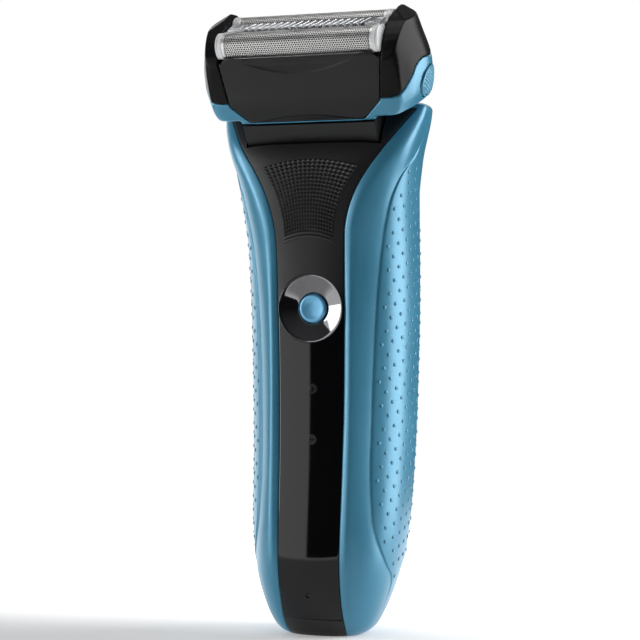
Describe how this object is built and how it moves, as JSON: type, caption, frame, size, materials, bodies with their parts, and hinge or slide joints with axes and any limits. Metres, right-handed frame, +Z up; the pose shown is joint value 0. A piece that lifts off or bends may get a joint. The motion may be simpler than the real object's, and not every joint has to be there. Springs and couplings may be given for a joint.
{
  "type": "electric shaver",
  "caption": "Handheld foil shaver with a tilting head, lift-off cassette, floating foils, centre trimmer, rear long-hair trimmer and soft-touch side grips.",
  "frame": {"origin": "centre of the charging socket's mouth, in the plane of the flat face under the base", "axes": "+Z up along the handle, -Y towards the thumb side that carries the button, +X to the right of someone looking at that side"},
  "size_m": [0.0672, 0.0497, 0.1745],
  "materials": {
    "front": "gloss black moulding, satin towards the neck",
    "rear": "satin black moulding",
    "blue": "light blue soft-touch skin with raised pips",
    "frame": "moulded black plastic",
    "cell": "sleeved steel cell",
    "tabs": "spring brass",
    "board": "glass-epoxy board",
    "steel": "turned steel",
    "white_plastic": "low-friction plastic",
    "seal": "soft seal",
    "dish": "polished black",
    "chrome": "bright trim",
    "button": "satin blue",
    "window": "dark light window",
    "blade": "ground cutting steel",
    "ear": "semi-gloss black",
    "head_blue": "satin blue moulding",
    "cassette": "semi-gloss black",
    "foil": "perforated nickel foil",
    "foil_end": "pale grey end cap"
  },
  "bodies": {
    "handle": {"front_panel": "front", "rear_shell": "rear", "right_side_panel": "blue", "left_side_panel": "blue", "bottom_cap": "rear", "neck_yoke": "frame", "inner_chassis": "frame", "battery_cell": "cell", "battery_tabs": "tabs", "circuit_board": "board", "tact_switch": "frame", "motor_can": "steel", "motor_plate": "frame", "motor_screws": "steel", "socket_housing": "frame", "socket_pins": "tabs", "cap_screws": "steel", "cap_gasket": "seal", "switch_dish": "dish", "dish_rim": "chrome", "level_windows": "window", "charge_light_lens": "window", "trimmer_tray": "frame"},
    "button": {"power_button": "button"},
    "shaft": {"motor_shaft": "steel"},
    "slider": {"drive_slider": "white_plastic", "drive_pin": "steel"},
    "trimmer": {"trimmer_slide": "rear", "trimmer_comb": "blade"},
    "trimmer_cutter": {"trimmer_blade": "blade"},
    "head": {"head_base": "head_blue", "head_drum": "frame", "pivot_pins": "steel", "right_ear": "ear", "left_ear": "ear", "release_springs": "steel"},
    "bridge": {"drive_bridge": "white_plastic"},
    "release_right": {"right_release_button": "head_blue"},
    "release_left": {"left_release_button": "head_blue"},
    "cassette": {"cassette_frame": "cassette", "centre_guard": "blade"},
    "foil_front": {"front_foil": "foil", "front_foil_ends": "foil_end"},
    "foil_rear": {"rear_foil": "foil", "rear_foil_ends": "foil_end"},
    "cutter_front": {"front_cutter": "blade"},
    "cutter_rear": {"rear_cutter": "blade"},
    "cutter_centre": {"centre_blade": "blade"}
  },
  "joints": [
    {"name": "head_tilt", "type": "hinge", "parent": "handle", "child": "head", "pos_m": [0, 0, 0.15], "axis": [1, 0, 0], "range_deg": [-16.5, 16.5], "stiffness_Nm_per_rad": 0.12},
    {"name": "button_press", "type": "slide", "parent": "handle", "child": "button", "axis": [0, 1, 0], "range_m": [0, 0.0007], "stiffness_N_per_m": 2500, "springref_m": -0.0001},
    {"name": "motor_spin", "type": "hinge", "parent": "handle", "child": "shaft", "pos_m": [0, 0.0054, 0.11], "axis": [0, 0, 1], "continuous": true},
    {"name": "drive_stroke", "type": "slide", "parent": "handle", "child": "slider", "axis": [1, 0, 0], "range_m": [-0.001, 0.001]},
    {"name": "bridge_stroke", "type": "slide", "parent": "head", "child": "bridge", "axis": [1, 0, 0], "range_m": [-0.001, 0.001]},
    {"name": "release_press_right", "type": "slide", "parent": "head", "child": "release_right", "axis": [-1, 0, 0], "range_m": [0, 0.0011], "stiffness_N_per_m": 1500, "springref_m": -0.0001, "deforming": ["release_springs"]},
    {"name": "release_press_left", "type": "slide", "parent": "head", "child": "release_left", "axis": [1, 0, 0], "range_m": [0, 0.0011], "stiffness_N_per_m": 1500, "springref_m": -0.0001},
    {"name": "cassette_lift", "type": "slide", "parent": "head", "child": "cassette", "axis": [0, -0.454, 0.891], "range_m": [0, 0.03]},
    {"name": "front_foil_float", "type": "slide", "parent": "cassette", "child": "foil_front", "axis": [0, 0.454, -0.891], "range_m": [0, 0.0009], "stiffness_N_per_m": 900, "springref_m": -0.0003},
    {"name": "rear_foil_float", "type": "slide", "parent": "cassette", "child": "foil_rear", "axis": [0, 0.454, -0.891], "range_m": [0, 0.0009], "stiffness_N_per_m": 900, "springref_m": -0.0003},
    {"name": "front_cutter_stroke", "type": "slide", "parent": "foil_front", "child": "cutter_front", "axis": [1, 0, 0], "range_m": [-0.001, 0.001]},
    {"name": "rear_cutter_stroke", "type": "slide", "parent": "foil_rear", "child": "cutter_rear", "axis": [1, 0, 0], "range_m": [-0.001, 0.001]},
    {"name": "centre_blade_stroke", "type": "slide", "parent": "cassette", "child": "cutter_centre", "axis": [1, 0, 0], "range_m": [-0.001, 0.001]},
    {"name": "trimmer_slide_up", "type": "slide", "parent": "handle", "child": "trimmer", "axis": [0, -0.2233, 0.9748], "range_m": [0, 0.012]},
    {"name": "trimmer_blade_stroke", "type": "slide", "parent": "trimmer", "child": "trimmer_cutter", "axis": [1, 0, 0], "range_m": [-0.0007, 0.0007]}
  ],
  "couplings": [
    {"joint": "bridge_stroke", "follows": "drive_stroke", "ratio": 1},
    {"joint": "front_cutter_stroke", "follows": "drive_stroke", "ratio": 1},
    {"joint": "rear_cutter_stroke", "follows": "drive_stroke", "ratio": 1},
    {"joint": "centre_blade_stroke", "follows": "drive_stroke", "ratio": 1}
  ]
}
